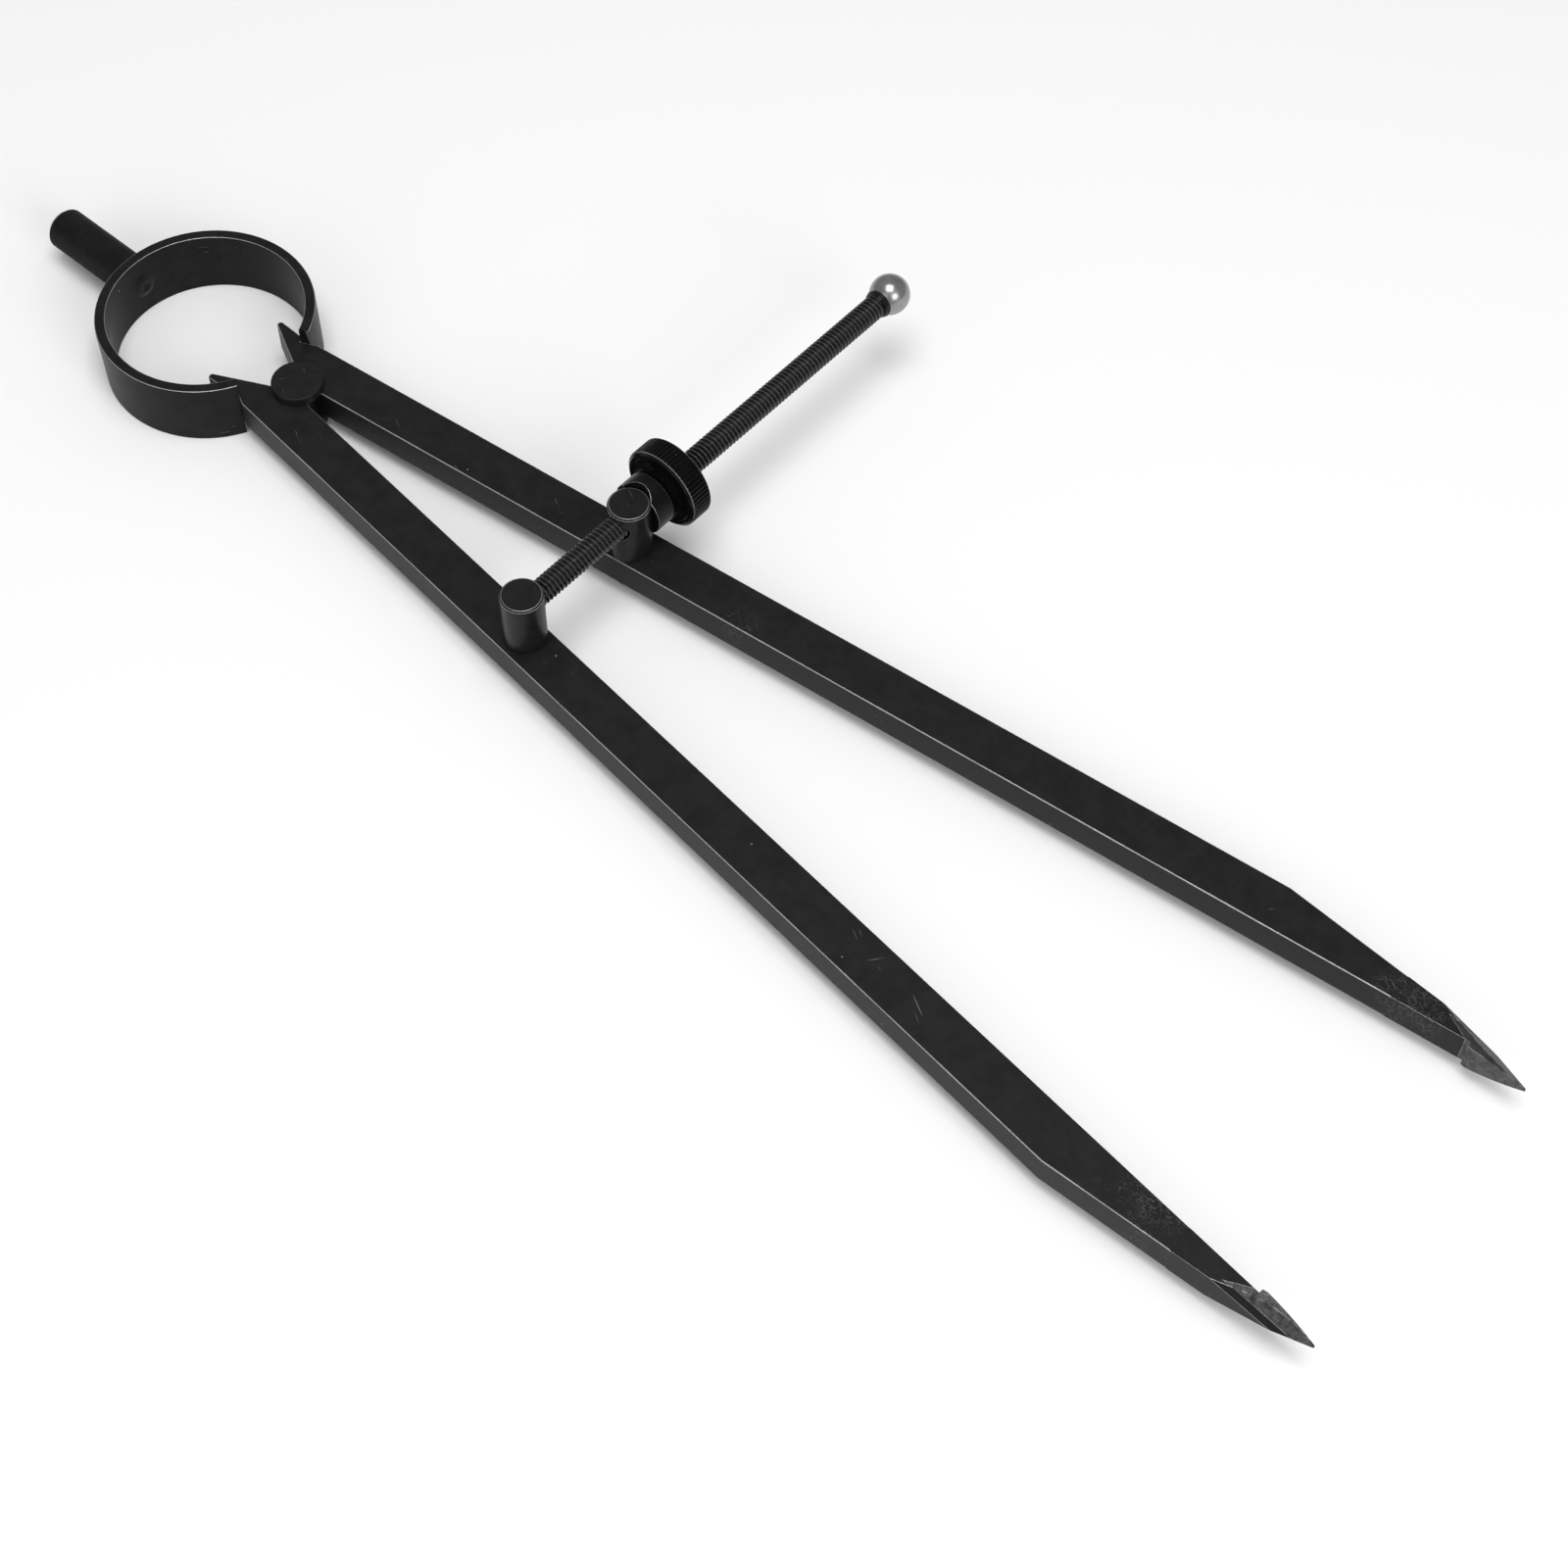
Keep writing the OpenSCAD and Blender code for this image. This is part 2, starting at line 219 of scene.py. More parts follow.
class Shader:
    """A material under construction."""

    def __init__(self, name):
        self.material = bpy.data.materials.new(name)
        self.material.use_nodes = True
        self.tree = self.material.node_tree
        self.tree.nodes.clear()

    def node(self, kind, settings=None, inputs=None, output=0):
        """Add a node, set it up, and return one of its outputs."""
        made = self.tree.nodes.new("ShaderNode" + kind)
        for name, value in (settings or {}).items():
            if name == "stops":
                self.set_stops(made.color_ramp, value)
            else:
                setattr(made, name, value)
        for name, value in (inputs or {}).items():
            if isinstance(value, Wire):
                self.tree.links.new(value.socket, made.inputs[name])
            else:
                made.inputs[name].default_value = value
        return Wire(self, made.outputs[output]) if made.outputs else made

    @staticmethod
    def set_stops(ramp, stops):
        while len(ramp.elements) < len(stops):
            ramp.elements.new(1)
        for element, (position, grey) in zip(ramp.elements, stops):
            element.position = position
            element.color = (grey, grey, grey, 1)

    def object_point(self):
        """The point on the piece, in metres, in the compass's own frame."""
        return self.node("TexCoord", output="Object")

    def stretched(self, point, scale, turn=(0, 0, 0)):
        """The point with its axes scaled, and turned first."""
        turned = self.node("Mapping", inputs={"Vector": point, "Rotation": turn})
        return self.node("Mapping", inputs={"Vector": turned, "Scale": scale})

    def noise(self, point, scale, detail=3.0, roughness=0.55):
        inputs = {"Vector": point, "Scale": scale, "Detail": detail, "Roughness": roughness}
        return self.node("TexNoise", inputs=inputs)

    def ramp(self, value, low, high):
        """Zero at low, one at high, and smooth between them; low may be the larger."""
        settings = {"interpolation_type": "SMOOTHSTEP"}
        inputs = {"Value": value, "From Min": low, "From Max": high}
        return self.node("MapRange", settings, inputs)

    def specks(self, point, scale, size, share):
        """Small round spots: a share of a grid's cells has one."""
        spot = {"Vector": point, "Scale": scale, "Randomness": 1.0}
        near = self.node("TexVoronoi", inputs=spot)
        pick = self.node("TexVoronoi", inputs=spot, output="Color")
        chance = self.node("SeparateColor", inputs={0: pick})
        return (near < size) * (chance < share)

    def painted(self, name):
        """A value that the piece's own mesh holds."""
        return self.node("Attribute", {"attribute_name": name}, output="Fac")

    def mix(self, mask, a, b):
        """Colour a, or colour b where the mask is one."""
        inputs = {0: mask, 6: self.rgba(a), 7: self.rgba(b)}
        return self.node("Mix", {"data_type": "RGBA", "clamp_factor": True}, inputs, output=2)

    @staticmethod
    def rgba(colour):
        return colour if isinstance(colour, Wire) else (*colour, 1)

    def finish(self, height, depth, **sockets):
        """End in one metal surface, with a bump of the given depth in metres."""
        bump = self.node("Bump", inputs={"Strength": 1.0, "Distance": depth, "Height": height})
        inputs = {name.replace("_", " "): value for name, value in sockets.items()}
        surface = self.node("BsdfPrincipled", inputs={**inputs, "Normal": bump})
        self.node("OutputMaterial", inputs={"Surface": surface})
        return self.material


def tint(colour, factor):
    return tuple(min(1, c * factor) for c in colour)


def blackened(name, wear=0.5, rough=0.42, glossy=False, shine=1.0, specular=0.12, scuffs=()):
    """Black oxide over ground steel: satin, mottled, specked and rubbed through along the edges,
    with a painted highlight along the edges as well.

    glossy takes the deeper black of the screw and nut, and shine is how bright the edges get:
    rubbed steel with a painted highlight on it. scuffs lists rubbed patches, each a centre point and
    a radius."""
    s = Shader(name)
    p = s.object_point()
    black = colours().screw_black if glossy else colours().black
    mottle = s.noise(p, 260, 5, 0.6)
    grain = s.noise(s.stretched(p, (1, 0.16, 1)), 5200, 2, 0.6)
    fine = s.noise(p, 9000, 2, 0.5)
    broken = s.noise(p, 1900, 6, 0.7)
    patch = s.noise(p, 90, 3, 0.6)
    # Edge mask from the crests marked as edge: black rubbed off the edges, plus a painted highlight
    # along them.
    crest = s.painted("edge") + 0.5 * (broken - 0.5) + 0.5 * (patch - 0.5)
    edge = s.ramp(crest, 0.75 - 0.5 * wear, 1.0 - 0.35 * wear) * (s.painted("edge") > 0.02)
    edge = edge * (0.45 + 0.55 * s.ramp(fine, 0.35, 0.6))
    dots = s.specks(p, 260, 0.045, 0.10)
    scratch_a = s.noise(s.stretched(p, (1, 0.03, 1), (0, 0, 0.5)), 3400, 1, 0.5)
    scratch_b = s.noise(s.stretched(p, (1, 0.03, 1), (0, 0, -0.9)), 3000, 1, 0.5)
    scratches = s.ramp(scratch_a, 0.76, 0.80) + s.ramp(scratch_b, 0.76, 0.80)
    scratches = scratches * s.ramp(patch, 0.5, 0.62)
    rubbed = 0.35 * scratches
    contour = s.noise(p, 620, 5, 0.62)
    cracks = s.ramp((contour - 0.5).math("ABSOLUTE", contour - 0.5), 0.016, 0.004)
    for centre, radius in scuffs:
        away = s.node("VectorMath", {"operation": "DISTANCE"}, {0: p, 1: centre}, output="Value")
        near = s.ramp(away, radius, 0.2 * radius) * s.ramp(patch, 0.42, 0.58)
        rubbed = rubbed + near * (cracks * s.ramp(fine, 0.46, 0.6) * 0.4
                                  + s.ramp(broken, 0.6, 0.74) * 0.08)
    # Where the light steel colour shows: rubbed edges, specks, scratches and scuffs, with the
    # painted edge highlight in the edge term.
    bare = edge * shine + 0.55 * dots + rubbed
    bare = bare.math("MINIMUM", bare, 1.0)
    tone = s.mix(s.ramp(mottle, 0.3, 0.7), tint(black, 0.82), tint(black, 1.22))
    base = s.mix(bare, tone, colours().worn_steel_and_edge_highlight)
    roughness = rough + 0.16 * (mottle - 0.5) + 0.10 * (fine - 0.5)
    height = 0.5 * grain + 0.35 * fine - 0.6 * scratches - 0.5 * dots + 0.6 * broken * edge
    return s.finish(height, 0.012 * MM, Base_Color=base, Roughness=roughness,
                    Metallic=0.05 + 0.9 * bare, Specular_IOR_Level=specular)


def ground_steel(name):
    """Bare steel, cross-ground by hand, with soot in the hollows and black left on its sides."""
    s = Shader(name)
    p = s.object_point()
    across = s.noise(s.stretched(p, (1, 0.035, 1), (0, 0, math.radians(62))), 9500, 2, 0.6)
    along = s.noise(s.stretched(p, (1, 0.05, 1), (0, 0, math.radians(-24))), 6500, 2, 0.6)
    soot = s.noise(p, 620, 5, 0.65)
    lines = across.math("MAXIMUM", across, along)
    top = s.painted("bare")
    edge = s.painted("edge")
    clean = top * s.ramp(soot, 0.30, 0.62)
    bright = s.ramp(lines, 0.55, 0.8)
    steel = s.mix(bright, tint(colours().ground, 0.35), tint(colours().ground, 1.3))
    base = s.mix(clean, tint(colours().black, 1.5), steel)
    # Light steel along the points' edges: rubbed steel and a painted highlight.
    base = s.mix(edge * s.ramp(soot, 0.4, 0.6) * 0.8, base, colours().worn_steel_and_edge_highlight)
    roughness = 0.36 + 0.2 * (soot - 0.5) + 0.1 * (1 - clean)
    return s.finish(lines + 0.4 * soot, 0.02 * MM, Base_Color=base, Roughness=roughness,
                    Metallic=0.1 + 0.8 * clean, Specular_IOR_Level=0.25)


def satin_nickel(name):
    """Bead-blasted nickel plate with faint tarnish."""
    s = Shader(name)
    p = s.object_point()
    cloud = s.noise(p, 420, 4, 0.6)
    blast = s.noise(p, 9000, 2, 0.5)
    dots = s.specks(p, 620, 0.06, 0.12)
    nickel = colours().nickel
    base = s.mix(s.ramp(cloud, 0.3, 0.7), tint(nickel, 0.86), tint(nickel, 1.05))
    base = s.mix(dots * 0.6, base, tint(nickel, 0.35))
    roughness = 0.24 + 0.14 * (cloud - 0.5) + 0.05 * blast
    return s.finish(blast, 0.008 * MM, Base_Color=base, Roughness=roughness, Metallic=0.92)


FINISHES = {}


def finish(name):
    """A finish by name, made once."""
    if name not in FINISHES:
        make, slot, options = FINISH_LIST[name]
        FINISHES[name] = (make(name, **options), slot)
    return FINISHES[name]


# ---- mesh helpers ----

def along(axis, origin):
    """Matrix that lays a shape drawn along X along another axis, from a point."""
    return Matrix.Translation(origin) @ X.rotation_difference(axis).to_matrix().to_4x4()


def tidy(bm):
    bmesh.ops.remove_doubles(bm, verts=bm.verts, dist=DOUBLES)
    bmesh.ops.recalc_face_normals(bm, faces=bm.faces)


def lathe(outline, steps, closed=False):
    """Turn an outline of (distance along X, radius) points, in millimetres, about X."""
    bm = bmesh.new()
    verts = [bm.verts.new((a * MM, r * MM, 0)) for a, r in outline]
    edges = [bm.edges.new(pair) for pair in zip(verts, verts[1:])]
    if closed:
        edges.append(bm.edges.new((verts[-1], verts[0])))
    bmesh.ops.spin(bm, geom=verts + edges, cent=(0, 0, 0), axis=X, angle=math.tau,
                   steps=steps, use_merge=True)
    tidy(bm)
    return bm


def round_edges(bm, width, sharp=30, keep=None):
    """Bevel the sharp edges that keep() accepts, and mark the crest of each as edge, which the
    finishes draw as rubbed steel with a painted highlight.
    """
    layer = bm.verts.layers.float.get("edge") or bm.verts.layers.float.new("edge")
    chosen = [e for e in bm.edges
              if e.is_manifold and e.calc_face_angle() > math.radians(sharp)
              and (keep is None or keep(e))]
    made = bmesh.ops.bevel(bm, geom=chosen, affect="EDGES", offset=width, offset_type="OFFSET",
                           segments=2, profile=0.5, material=-1, clamp_overlap=False)
    fresh = set(made["faces"])
    for v in made["verts"]:
        if all(face in fresh for face in v.link_faces):
            v[layer] = 1


def flute(bm, from_r, count, steps, depth):
    """Press flutes into the rings that lie further than from_r from the X axis."""
    per_flute = steps // count
    chosen = []
    for v in bm.verts:
        if v.co.yz.length > from_r:
            index = round(math.atan2(v.co.z, v.co.y) / math.tau * steps) % per_flute
            if index < per_flute // 2:
                chosen.append(v)
    outer = max(v.co.yz.length for v in chosen)
    shrink = 1 - depth / outer
    bmesh.ops.scale(bm, vec=(1, shrink, shrink), verts=chosen)


def mark_crests(bm, from_r, to_r=1.0):
    """Mark as edge what lies from from_r to to_r from the X axis."""
    layer = bm.verts.layers.float.new("edge")
    for v in bm.verts:
        if from_r < v.co.yz.length < to_r:
            v[layer] = 1


def cad_copy(node):
    """A CAD node's mesh with its doubles merged and its flat faces joined."""
    bm = bmesh.new()
    bm.from_mesh(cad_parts[node].data)
    bmesh.ops.remove_doubles(bm, verts=bm.verts, dist=DOUBLES)
    bmesh.ops.dissolve_limit(bm, angle_limit=math.radians(0.6), verts=bm.verts, edges=bm.edges)
    return bm


def make_piece(name, bm, finish_name, node, body=None, smooth=35):
    """Turn a bmesh into a finished piece that stands for a CAD node and rides on its body."""
    mesh = bpy.data.meshes.new(name)
    bm.to_mesh(mesh)
    bm.free()
    mesh.shade_smooth()
    mesh.set_sharp_from_angle(angle=math.radians(smooth))
    piece = bpy.data.objects.new(name, mesh)
    bpy.context.scene.collection.objects.link(piece)
    material, slot = finish(finish_name)
    mesh.materials.append(material)
    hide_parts(node)
    weighted = piece.modifiers.new("flat_faces", "WEIGHTED_NORMAL")
    weighted.keep_sharp = True
    if body:
        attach(piece, body)
    return piece


# ---- pieces ----

class COMPASS_OT_legs(bpy.types.Operator):
    """Build the two legs, with rounded edges that are finer near the tips"""
    bl_idname = "compass.legs"
    bl_label = "Legs"

    def execute(self, context):
        near_tip = -REACH + GROUND_LENGTH
        for side in ("left", "right"):
            bm = cad_copy(side + "_leg")
            bmesh.ops.bisect_plane(bm, geom=bm.verts[:] + bm.edges[:] + bm.faces[:],
                                   plane_co=(0, near_tip, 0), plane_no=Y)
            round_edges(bm, sizes().edge,
                        keep=lambda e: min(v.co.y for v in e.verts) > near_tip - MM * 0.01)
            round_edges(bm, GROUND_EDGE,
                        keep=lambda e: max(v.co.y for v in e.verts) < near_tip + MM * 0.01)
            make_piece(side + "_leg_body_steel", bm, side + "_leg_black",
                       side + "_leg", side + "_leg_body")
        return {"FINISHED"}


class COMPASS_OT_points(bpy.types.Operator):
    """Build the two brazed points, bare on their flat faces"""
    bl_idname = "compass.points"
    bl_label = "Points"

    def execute(self, context):
        for side in ("left", "right"):
            bm = cad_copy(side + "_point")
            layer = bm.loops.layers.float.new("bare")
            for face in bm.faces:
                for loop in face.loops:
                    loop[layer] = self.bareness(side, face.normal)
            round_edges(bm, POINT_EDGE)
            make_piece(side + "_point_steel", bm, "ground_point",
                       side + "_point", side + "_leg_body")
        return {"FINISHED"}

    @staticmethod
    def bareness(side, normal):
        """The left point is ground bare on its flats, the right one only on its inner face."""
        if side == "left":
            return 1 if abs(normal.z) > 0.6 else 0.3
        return 0.75 if -normal.x > 0.8 else 0.2


class COMPASS_OT_bow(bpy.types.Operator):
    """Build the bow as two halves, one on each side of the crown"""
    bl_idname = "compass.bow"
    bl_label = "Spring bow"

    def execute(self, context):
        for side, name in ((LEFT, "left"), (RIGHT, "right")):
            bow = self.half(side)
            piece = make_piece(name + "_half_bow", bow, "bow_black", "spring_bow", smooth=40)
            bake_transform(piece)
        return {"FINISHED"}

    def half(self, side):
        """Strip section, rounded at its corners, swept from the gap to the crown."""
        bm = bmesh.new()
        centre = Vector((0, BOW_Y, 0))
        out = Vector((side * math.sin(GAP_ANGLE), -math.cos(GAP_ANGLE), 0))
        corners = [(BOW_R, BOW_LOW.z), (BOW_R, BOW_HIGH.z),
                   (BOW_R - sizes().bow_wall, BOW_HIGH.z), (BOW_R - sizes().bow_wall, BOW_LOW.z)]
        bm.faces.new([bm.verts.new(centre + r * out + z * Z) for r, z in corners])
        bmesh.ops.bevel(bm, geom=bm.verts[:], affect="VERTICES", offset=sizes().edge,
                        offset_type="OFFSET", segments=2, profile=0.5, material=-1)
        bmesh.ops.delete(bm, geom=bm.faces[:], context="FACES_ONLY")
        steps = 96
        bmesh.ops.spin(bm, geom=bm.verts[:] + bm.edges[:], cent=centre, axis=Z * side,
                       angle=math.pi - GAP_ANGLE, steps=steps)
        bmesh.ops.holes_fill(bm, edges=bm.edges[:], sides=0)
        bmesh.ops.recalc_face_normals(bm, faces=bm.faces)
        # Verts at the strip's rounded corners are marked as edge: rubbed steel with a painted
        # highlight along the rims.
        layer = bm.verts.layers.float.new("edge")
        for v in bm.verts:
            spot = Vector(((v.co.xy - centre.xy).length, v.co.z))
            if min((spot - Vector(corner)).length for corner in corners) < 0.7 * sizes().edge:
                v[layer] = 1
        return bm


class COMPASS_OT_handle(bpy.types.Operator):
    """Build the knurled handle, with its tenon and peened head"""
    bl_idname = "compass.handle"
    bl_label = "Handle"

    def execute(self, context):
        low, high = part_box("handle")
        r = (high.x - low.x) / 2 / MM
        length = (high.y - low.y) / MM
        head, wall = 0.6, sizes().bow_wall / MM
        crown = (BOW_HIGH.y - low.y) / MM
        inside = crown - wall
        outline = [(inside - head * 0.2, 0), (inside - head * 0.25, 0.5),
                   (inside - head * 0.9, 1.15), (inside - head, 1.4), (inside - head * 0.7, 2.2),
                   (inside - head * 0.2, 2.95), (inside - 0.1, 3.1), (inside, 3.0),
                   (inside, 2.4), (crown, 2.4), (crown, r - 0.5), (crown + 0.12, r - 0.22),
                   (crown + 0.3, r - 0.2), (crown + 0.75, r - 0.2), (crown + 0.9, r),
                   (length - 1.35, r), (length - 1.15, r - 0.12), (length - 0.3, r - 0.85),
                   (length - 0.08, r - 1.15), (length, r - 1.45), (length, 0)]
        count = sizes().handle_flutes
        steps = 4 * count
        bm = lathe(outline, steps)
        flute(bm, (r - 0.05) * MM, count, steps, sizes().handle_flute)
        bm.transform(along(Y, (0, low.y, MID_Z)))
        make_piece("knurled_handle", bm, "handle_black", "handle", "bow_frame")
        return {"FINISHED"}


class COMPASS_OT_pivot(bpy.types.Operator):
    """Build the pivot roller and its two discs"""
    bl_idname = "compass.pivot"
    bl_label = "Pivot"

    def execute(self, context):
        low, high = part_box("lower_pivot_disc")
        r, t = high.x / MM, (high.z - low.z) / MM
        outline = [(0, 0), (0, r - 0.4), (0.05, r - 0.2), (0.16, r - 0.06), (0.32, r),
                   (t - 0.12, r), (t, r - 0.12), (t, 0)]
        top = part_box("upper_pivot_disc")[1].z
        for name, axis, origin in (("lower", Z, low.z), ("upper", -Z, top)):
            bm = lathe(outline, 96)
            bm.transform(along(axis, (0, 0, origin)))
            make_piece(name + "_disc", bm, "disc_black", name + "_pivot_disc", "bow_frame")
        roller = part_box("pivot_roller")[1].x / MM
        length = (LEG_TOP - LEG_LOW) / MM
        outline = [(0, 0), (0, roller - 0.15), (0.15, roller), (length - 0.15, roller),
                   (length, roller - 0.15), (length, 0)]
        bm = lathe(outline, 64)
        bm.transform(along(Z, (0, 0, LEG_LOW)))
        make_piece("roller", bm, "disc_black", "pivot_roller", "bow_frame")
        return {"FINISHED"}


class COMPASS_OT_posts(bpy.types.Operator):
    """Build the two posts and the washers under them"""
    bl_idname = "compass.posts"
    bl_label = "Posts"

    def execute(self, context):
        for side, body in (("left", "screw_post_body"), ("right", "nut_post_body")):
            for node, ending in ((side + "_post", "pin"), (side + "_post_washer", "ring")):
                bm = cad_copy(node)
                round_edges(bm, sizes().fine_edge)
                make_piece(node + "_" + ending, bm, "post_black", node, body, smooth=24)
        return {"FINISHED"}


class COMPASS_OT_screw(bpy.types.Operator):
    """Cut the adjusting screw's thread, and add its collar"""
    bl_idname = "compass.screw"
    bl_label = "Adjusting screw"

    def execute(self, context):
        low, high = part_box("adjusting_screw")
        collar_r = (high.z - low.z) / 2
        pitch, crest = sizes().pitch, sizes().screw_r
        root = crest - sizes().thread_depth
        collar_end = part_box("ball_end")[0].x
        collar_start = collar_end - 1.1 * MM
        turns = int((collar_start - low.x) / pitch)
        start = collar_start + 0.3 * MM - turns * pitch
        bm = bmesh.new()
        tooth = [(0, root), (0.10, root + 0.03 * MM), (0.40, crest - 0.04 * MM), (0.45, crest),
                 (0.55, crest), (0.60, crest - 0.04 * MM), (0.90, root + 0.03 * MM), (1, root)]
        verts = [bm.verts.new((start + a * pitch, r, 0)) for a, r in tooth]
        edges = [bm.edges.new(pair) for pair in zip(verts, verts[1:])]
        steps = 28
        bmesh.ops.spin(bm, geom=verts + edges, cent=(0, 0, 0), axis=X, dvec=X * pitch / steps,
                       angle=math.tau, steps=steps)
        one_turn = bm.verts[:] + bm.edges[:] + bm.faces[:]
        for turn in range(1, turns):
            copy = bmesh.ops.duplicate(bm, geom=one_turn)["geom"]
            moved = [item for item in copy if isinstance(item, bmesh.types.BMVert)]
            bmesh.ops.translate(bm, vec=X * pitch * turn, verts=moved)
        bmesh.ops.remove_doubles(bm, verts=bm.verts, dist=0.004 * MM)
        bmesh.ops.holes_fill(bm, edges=bm.edges[:], sides=0)
        bmesh.ops.recalc_face_normals(bm, faces=bm.faces)
        # The thread crests are marked as edge so they come out lighter than the roots: a painted
        # highlight on the crests standing in for the shade in the grooves.
        mark_crests(bm, crest - 0.02 * MM)
        self.add_collar(bm, collar_start, collar_end, collar_r)
        bm.transform(Matrix.Translation((0, SCREW_Y, SCREW_Z)))
        make_piece("threaded_screw", bm, "screw_black", "adjusting_screw", "screw_post_body",
                   smooth=50)
        return {"FINISHED"}

    def add_collar(self, bm, start, end, r):
        length, r = (end - start) / MM, r / MM
        outline = [(0, 0), (0, r - 0.75), (0.18, r - 0.25), (0.36, r - 0.2), (0.52, r - 0.45),
                   (0.62, r - 0.4), (0.74, r - 0.05), (0.9, r), (length + 0.2, r - 0.02),
                   (length + 0.5, r - 0.3), (length + 0.5, 0)]
        collar = lathe(outline, 64)
        collar.transform(Matrix.Translation((start, 0, 0)))
        scratch = bpy.data.meshes.new("collar")
        collar.to_mesh(scratch)
        collar.free()
        bm.from_mesh(scratch)
        bpy.data.meshes.remove(scratch)


class COMPASS_OT_ball(bpy.types.Operator):
    """Build the ball on the screw's end"""
    bl_idname = "compass.ball"
    bl_label = "Ball"

    def execute(self, context):
        low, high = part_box("ball_end")
        radius = (high.z - low.z) / 2 / MM
        centre = high.x - radius * MM
        mouth = 2.9
        first = math.pi - math.asin(mouth / radius)
        count = 28
        arc = [first * (1 - i / count) for i in range(count + 1)]
        outline = [(radius * math.cos(first) + 0.8, 0), (radius * math.cos(first) + 0.8, mouth)]
        outline += [(radius * math.cos(a), radius * math.sin(a)) for a in arc]
        bm = lathe(outline, 72)
        bm.transform(Matrix.Translation((centre, SCREW_Y, SCREW_Z)))
        make_piece("nickel_ball", bm, "nickel", "ball_end", "screw_post_body")
        return {"FINISHED"}


class COMPASS_OT_nut(bpy.types.Operator):
    """Build the knurled nut and the saddle washer behind it"""
    bl_idname = "compass.nut"
    bl_label = "Nut and saddle"

    def execute(self, context):
        low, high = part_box("adjusting_nut")
        rim = (high.z - low.z) / 2 / MM
        length = (high.x - low.x) / MM
        bore = sizes().screw_r / MM + 0.05
        boss, step = 6.8, 2.3
        outline = [(0.25, bore), (0, bore + 0.25), (0, boss - 2.6), (0.08, boss - 2.45),
                   (0.9, boss - 2.45), (1.0, boss - 2.3), (1.04, boss - 1.2), (1.12, boss - 1.05),
                   (1.3, boss - 1.05), (1.38, boss - 1.15), (1.42, boss - 1.6), (1.6, boss - 1.65),
                   (step - 0.4, boss - 1.3), (step - 0.12, boss - 0.5), (step, boss + 0.1),
                   (step, boss + 1.1), (step - 0.12, boss + 1.25),
                   (step - 0.12, rim - 0.85), (step, rim - 0.7),
                   (step + 0.1, rim - 0.55), (step + 0.42, rim - 0.12), (step + 0.55, rim),
                   (length - 0.55, rim), (length - 0.42, rim - 0.12), (length - 0.06, rim - 0.6),
                   (length, rim - 0.75), (length, 5.2), (length - 0.08, 5.0), (length - 0.08, 3.4),
                   (length - 0.2, bore + 0.25), (length - 0.45, bore)]
        count = sizes().nut_flutes
        steps = 4 * count
        bm = lathe(outline, steps, closed=True)
        flute(bm, (rim - 0.05) * MM, count, steps, sizes().nut_flute)
        # The bevel rings beside the flutes are marked as edge: chipped steel with a painted
        # highlight along them.
        mark_crests(bm, (rim - 0.3) * MM, (rim - 0.05) * MM)
        bm.transform(Matrix.Translation((low.x, SCREW_Y, SCREW_Z)))
        make_piece("knurled_nut", bm, "nut_black", "adjusting_nut", "nut_body", smooth=28)
        bm = cad_copy("saddle_washer")
        round_edges(bm, sizes().fine_edge)
        make_piece("hollowed_washer", bm, "saddle_black", "saddle_washer", "nut_post_body",
                   smooth=24)
        return {"FINISHED"}


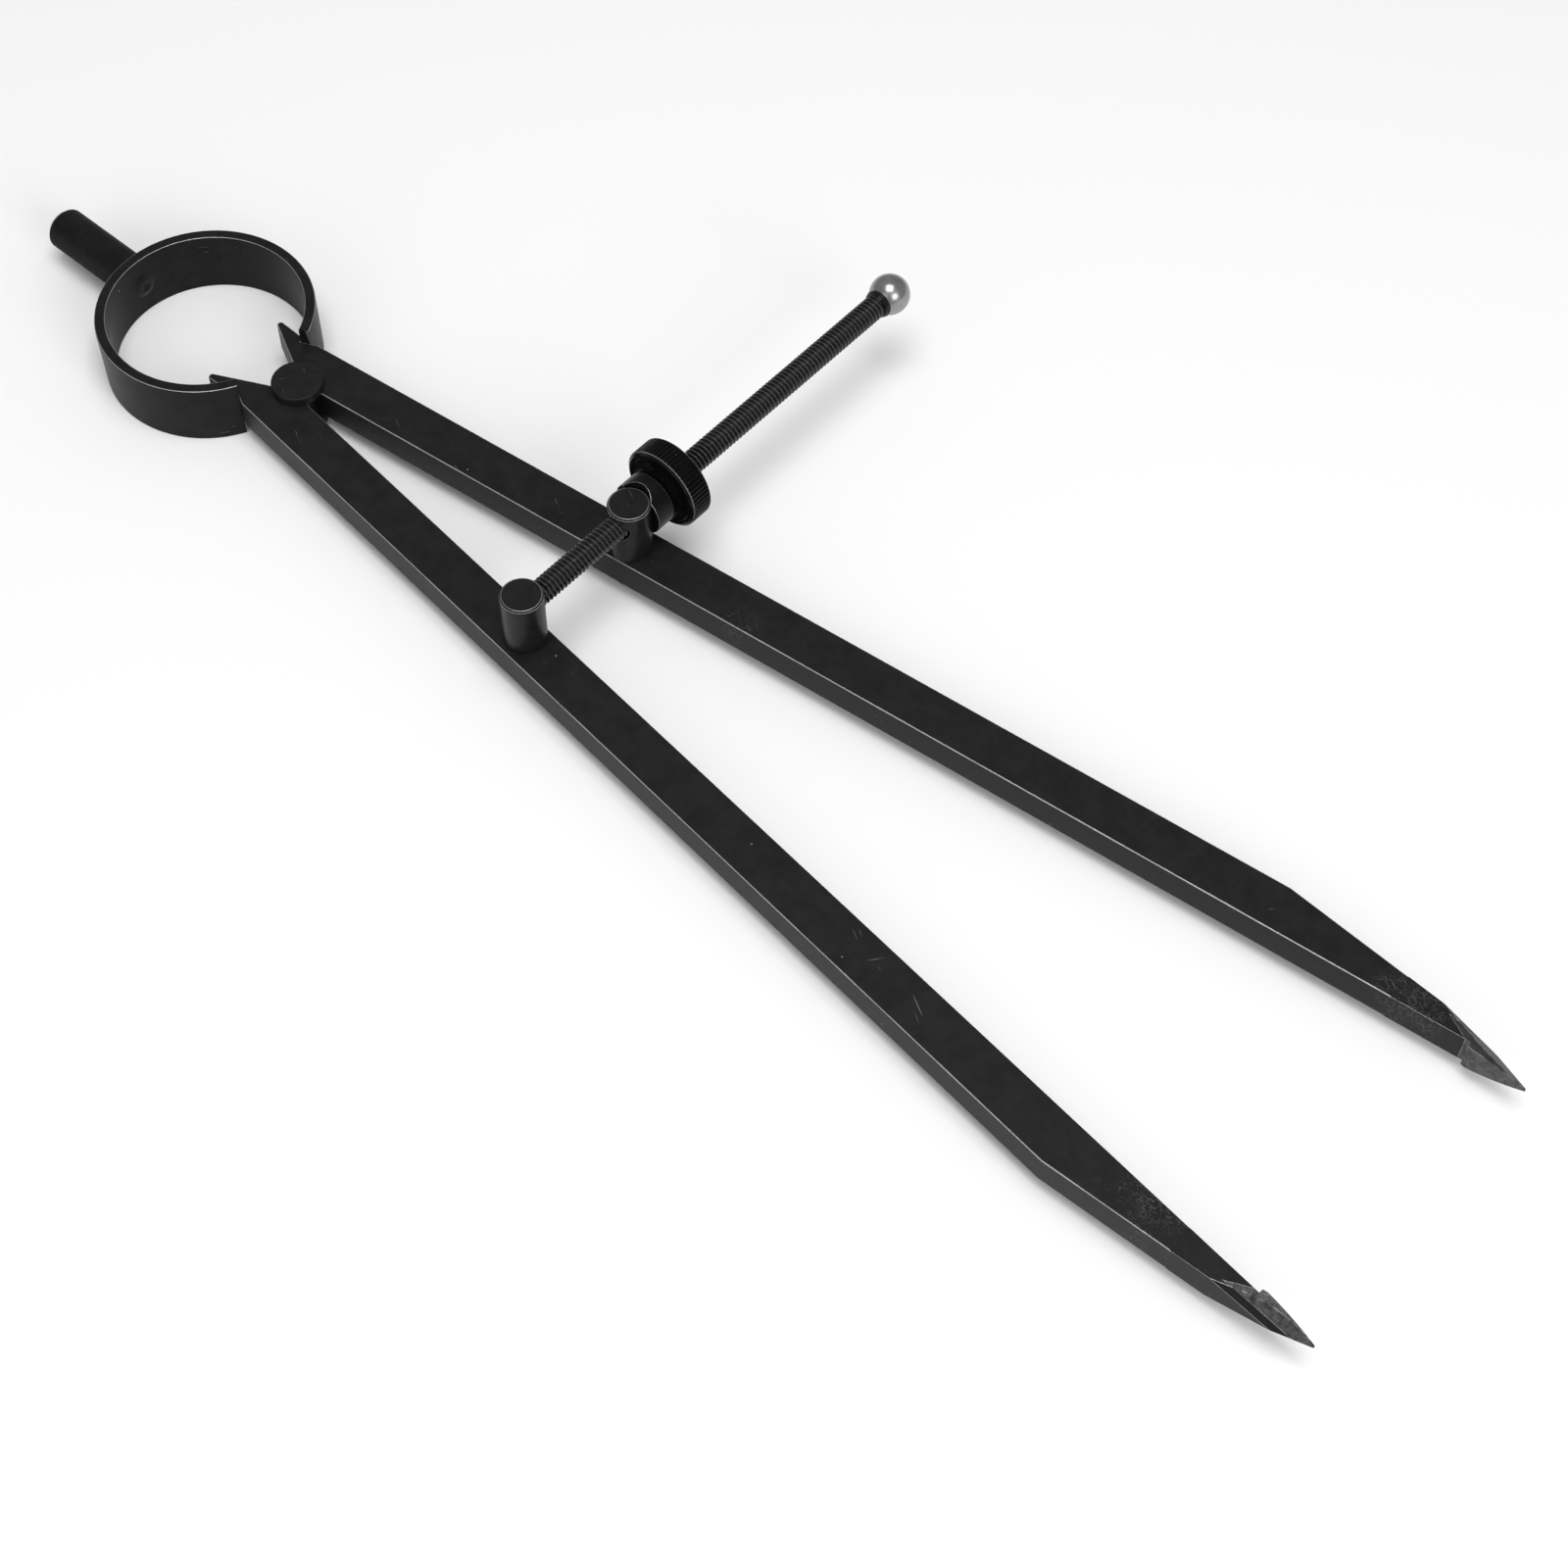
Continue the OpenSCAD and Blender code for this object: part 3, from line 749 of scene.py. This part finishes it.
class COMPASS_OT_stage(bpy.types.Operator):
    """Add the floor, the soft light and the camera"""
    bl_idname = "compass.stage"
    bl_label = "Studio"

    def execute(self, context):
        studio = context.scene.compass_studio
        self.add_floor()
        self.add_camera(context, studio)
        world = bpy.data.worlds.new("studio")
        context.scene.world = world
        world.use_nodes = True
        background = world.node_tree.nodes["Background"]
        background.inputs["Color"].default_value = (1, 1, 1, 1)
        background.inputs["Strength"].default_value = studio.sky
        self.add_softbox("overhead", studio.softbox, 0.7, (-0.1, -0.2, 1.2))
        self.add_softbox("front", 0.8 * studio.softbox, 0.7, (-0.3, -1.35, 0.75))
        self.add_softbox("left", 0.2 * studio.softbox, 0.8, (-1.2, -0.2, 0.7))
        context.scene.view_settings.view_transform = "Standard"
        return {"FINISHED"}

    def add_floor(self):
        bm = bmesh.new()
        bmesh.ops.create_grid(bm, x_segments=1, y_segments=1, size=FLOOR_HALF)
        bmesh.ops.translate(bm, vec=(0, 0, BOW_LOW.z - FLOOR_GAP), verts=bm.verts)
        mesh = bpy.data.meshes.new("floor")
        bm.to_mesh(mesh)
        bm.free()
        floor = bpy.data.objects.new("floor", mesh)
        bpy.context.scene.collection.objects.link(floor)
        s = Shader("floor_white")
        surface = s.node("BsdfPrincipled", inputs={
            "Base Color": (*colours().floor, 1), "Roughness": 0.9, "Specular IOR Level": 0.1})
        s.node("OutputMaterial", inputs={"Surface": surface})
        mesh.materials.append(s.material)

    def add_softbox(self, name, power, size, place):
        light = bpy.data.lights.new(name, "AREA")
        light.shape, light.size, light.energy = "SQUARE", size, power
        lamp = bpy.data.objects.new(name, light)
        bpy.context.scene.collection.objects.link(lamp)
        lamp.location = place
        aim = Vector((0, -0.12, 0)) - lamp.location
        lamp.rotation_euler = aim.to_track_quat("-Z", "Y").to_euler()

    def add_camera(self, context, studio):
        az, el, roll = studio.azimuth, studio.elevation, studio.roll
        look = Vector((-math.sin(az) * math.cos(el), math.cos(az) * math.cos(el), -math.sin(el)))
        right = Vector((math.cos(az), math.sin(az), 0))
        up = right.cross(look)
        right_rolled = math.cos(roll) * right + math.sin(roll) * up
        up_rolled = math.cos(roll) * up - math.sin(roll) * right
        data = bpy.data.cameras.new("camera")
        data.sensor_width, data.lens = 36, studio.lens
        data.clip_start, data.clip_end = 0.01, 20
        camera = bpy.data.objects.new("camera", data)
        context.scene.collection.objects.link(camera)
        turn = Matrix((right_rolled, up_rolled, -look)).transposed().to_4x4()
        aim = Vector((studio.aim[0], studio.aim[1], MID_Z))
        camera.matrix_world = Matrix.Translation(aim - look * studio.distance) @ turn
        context.scene.camera = camera


class COMPASS_PT_panel(bpy.types.Panel):
    """Lists the pieces and their sizes"""
    bl_label = "Drawing compass"
    bl_idname = "COMPASS_PT_panel"
    bl_space_type = "VIEW_3D"
    bl_region_type = "UI"
    bl_category = "Compass"

    def draw(self, context):
        for group in (context.scene.compass_sizes, context.scene.compass_colours,
                      context.scene.compass_studio):
            box = self.layout.box()
            for name in group.bl_rna.properties.keys():
                if name not in ("rna_type", "name"):
                    box.prop(group, name)
        for operator in OPERATORS:
            self.layout.operator(operator.bl_idname)


GROUPS = {"compass_sizes": CompassSizes, "compass_colours": CompassColours,
          "compass_studio": CompassStudio}
OPERATORS = (COMPASS_OT_legs, COMPASS_OT_points, COMPASS_OT_bow, COMPASS_OT_handle,
             COMPASS_OT_pivot, COMPASS_OT_posts, COMPASS_OT_screw, COMPASS_OT_ball,
             COMPASS_OT_nut, COMPASS_OT_stage)

FINISH_LIST = {
    "left_leg_black": (blackened, "blackened_steel", {
        "wear": 0.85, "scuffs": [((-38 * MM, -262 * MM, LEG_TOP), 18 * MM)]}),
    "right_leg_black": (blackened, "blackened_steel", {
        "wear": 0.95, "scuffs": [((14.7 * MM, -116 * MM, LEG_TOP), 7 * MM),
                                 ((32.4 * MM, -272 * MM, LEG_TOP), 14 * MM)]}),
    "bow_black": (blackened, "blackened_steel", {"wear": 0.45, "rough": 0.38, "specular": 0.08}),
    "handle_black": (blackened, "blackened_steel", {"wear": 0.4, "rough": 0.36}),
    "disc_black": (blackened, "blackened_steel", {"wear": 0.5, "rough": 0.40}),
    "post_black": (blackened, "blackened_steel", {"wear": 0.9, "rough": 0.34, "shine": 0.6}),
    "saddle_black": (blackened, "blackened_steel", {"wear": 0.4, "rough": 0.30, "glossy": True}),
    "screw_black": (blackened, "screw_steel", {
        "wear": 0.6, "rough": 0.26, "glossy": True, "shine": 0.16, "specular": 0.3}),
    "nut_black": (blackened, "screw_steel", {
        "wear": 0.7, "rough": 0.22, "glossy": True, "shine": 0.35, "specular": 0.15}),
    "ground_point": (ground_steel, "ground_point_steel", {}),
    "nickel": (satin_nickel, "satin_nickel", {}),
}


def register():
    for group in GROUPS.values():
        bpy.utils.register_class(group)
    for name, group in GROUPS.items():
        setattr(bpy.types.Scene, name, PointerProperty(type=group))
    for operator in OPERATORS:
        bpy.utils.register_class(operator)
    bpy.utils.register_class(COMPASS_PT_panel)


def unregister():
    bpy.utils.unregister_class(COMPASS_PT_panel)
    for operator in reversed(OPERATORS):
        bpy.utils.unregister_class(operator)
    for name, group in GROUPS.items():
        delattr(bpy.types.Scene, name)
        bpy.utils.unregister_class(group)


def main():
    register()
    for operator in OPERATORS:
        getattr(bpy.ops.compass, operator.bl_idname.split(".")[1])()


if __name__ == "__main__":
    main()
